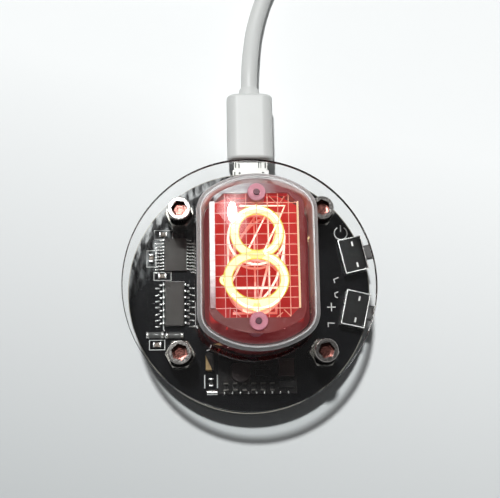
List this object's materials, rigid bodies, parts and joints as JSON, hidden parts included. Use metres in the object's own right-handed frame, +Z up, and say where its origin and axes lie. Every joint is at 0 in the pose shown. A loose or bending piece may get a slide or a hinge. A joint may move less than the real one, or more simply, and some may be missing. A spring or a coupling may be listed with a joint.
{
  "type": "nixie tube clock",
  "caption": "Desk clock that shows glowing numerals in a flat-faced gas tube, on a round circuit board under a clear cover plate, with push buttons and a plug-in power lead.",
  "frame": {"origin": "on the table, at the centre of the square pattern of tapped holes in the feet", "axes": "+Z up through the tube's face, +Y towards the power lead, +X to the right of the numerals, towards the buttons"},
  "size_m": [0.0577, 0.1497, 0.0364],
  "materials": {
    "clear_plastic": "polished clear sheet",
    "board_laminate": "satin black solder mask",
    "screw_steel": "bright plain steel",
    "standoff_metal": "nickel-plated",
    "tube_glass": "clear",
    "pin_metal": "plain wire",
    "gilt_metal": "gold-plated",
    "electrode_metal": "etched sheet and wire",
    "pink_ceramic": "unglazed ceramic",
    "chip_moulding": "moulded epoxy",
    "grey_moulding": "glass body",
    "amber_moulding": "moulded epoxy",
    "tan_ceramic": "ceramic",
    "ferrite": "ferrite",
    "tinned_metal": "tinned",
    "plated_steel": "nickel-plated sheet",
    "button_plastic": "moulded",
    "cord_plastic": "soft moulded",
    "plug_white": "moulded"
  },
  "bodies": {
    "clock": {"top_plate": "clear_plastic", "circuit_board": "board_laminate", "cap_screws": "screw_steel", "upper_standoffs": "standoff_metal", "foot_standoffs": "standoff_metal", "tube_glass": "tube_glass", "tube_stem": "tube_glass", "tube_pins": "pin_metal", "pin_sockets": "gilt_metal", "anode_mesh": "electrode_metal", "anode_frame": "electrode_metal", "back_plate": "electrode_metal", "cathode_0": "electrode_metal", "cathode_1": "electrode_metal", "cathode_2": "electrode_metal", "cathode_3": "electrode_metal", "cathode_4": "electrode_metal", "cathode_5": "electrode_metal", "cathode_6": "electrode_metal", "cathode_7": "electrode_metal", "cathode_8": "electrode_metal", "cathode_9": "electrode_metal", "ceramic_spacers": "pink_ceramic", "support_rods": "electrode_metal", "lead_wires": "electrode_metal", "getter": "electrode_metal", "controller_chip": "chip_moulding", "controller_leads": "tinned_metal", "driver_chip": "chip_moulding", "driver_leads": "tinned_metal", "chip_capacitors": "tan_ceramic", "chip_resistors": "chip_moulding", "signal_diodes": "grey_moulding", "tantalum_capacitor": "amber_moulding", "high_voltage_capacitor": "tan_ceramic", "boost_inductor": "ferrite", "boost_chip": "chip_moulding", "boost_transistor": "chip_moulding", "supply_board": "board_laminate", "cathode_transistors": "chip_moulding", "usb_socket_shell": "plated_steel", "usb_socket_tongue": "chip_moulding", "power_switch_body": "chip_moulding", "power_switch_frame": "plated_steel", "plus_switch_body": "chip_moulding", "plus_switch_frame": "plated_steel", "switch_contacts": "gilt_metal", "micro_plug_shell": "plated_steel", "micro_plug_insert": "chip_moulding", "micro_plug_grip": "cord_plastic", "cord_lead": "cord_plastic", "cord_coil": "cord_plastic", "cord_tail": "cord_plastic", "large_plug_grip": "cord_plastic", "large_plug_shell": "plated_steel", "large_plug_tongue": "plug_white"},
    "power_key": {"power_button": "button_plastic"},
    "plus_key": {"plus_button": "button_plastic"}
  },
  "joints": [
    {"name": "power_press", "type": "slide", "parent": "clock", "child": "power_key", "axis": [-0.9763, -0.2164, 0], "range_m": [0, 0.00025], "stiffness_N_per_m": 2000, "springref_m": -0.0003},
    {"name": "plus_press", "type": "slide", "parent": "clock", "child": "plus_key", "axis": [-0.9744, 0.225, 0], "range_m": [0, 0.00025], "stiffness_N_per_m": 2000, "springref_m": -0.0003}
  ]
}
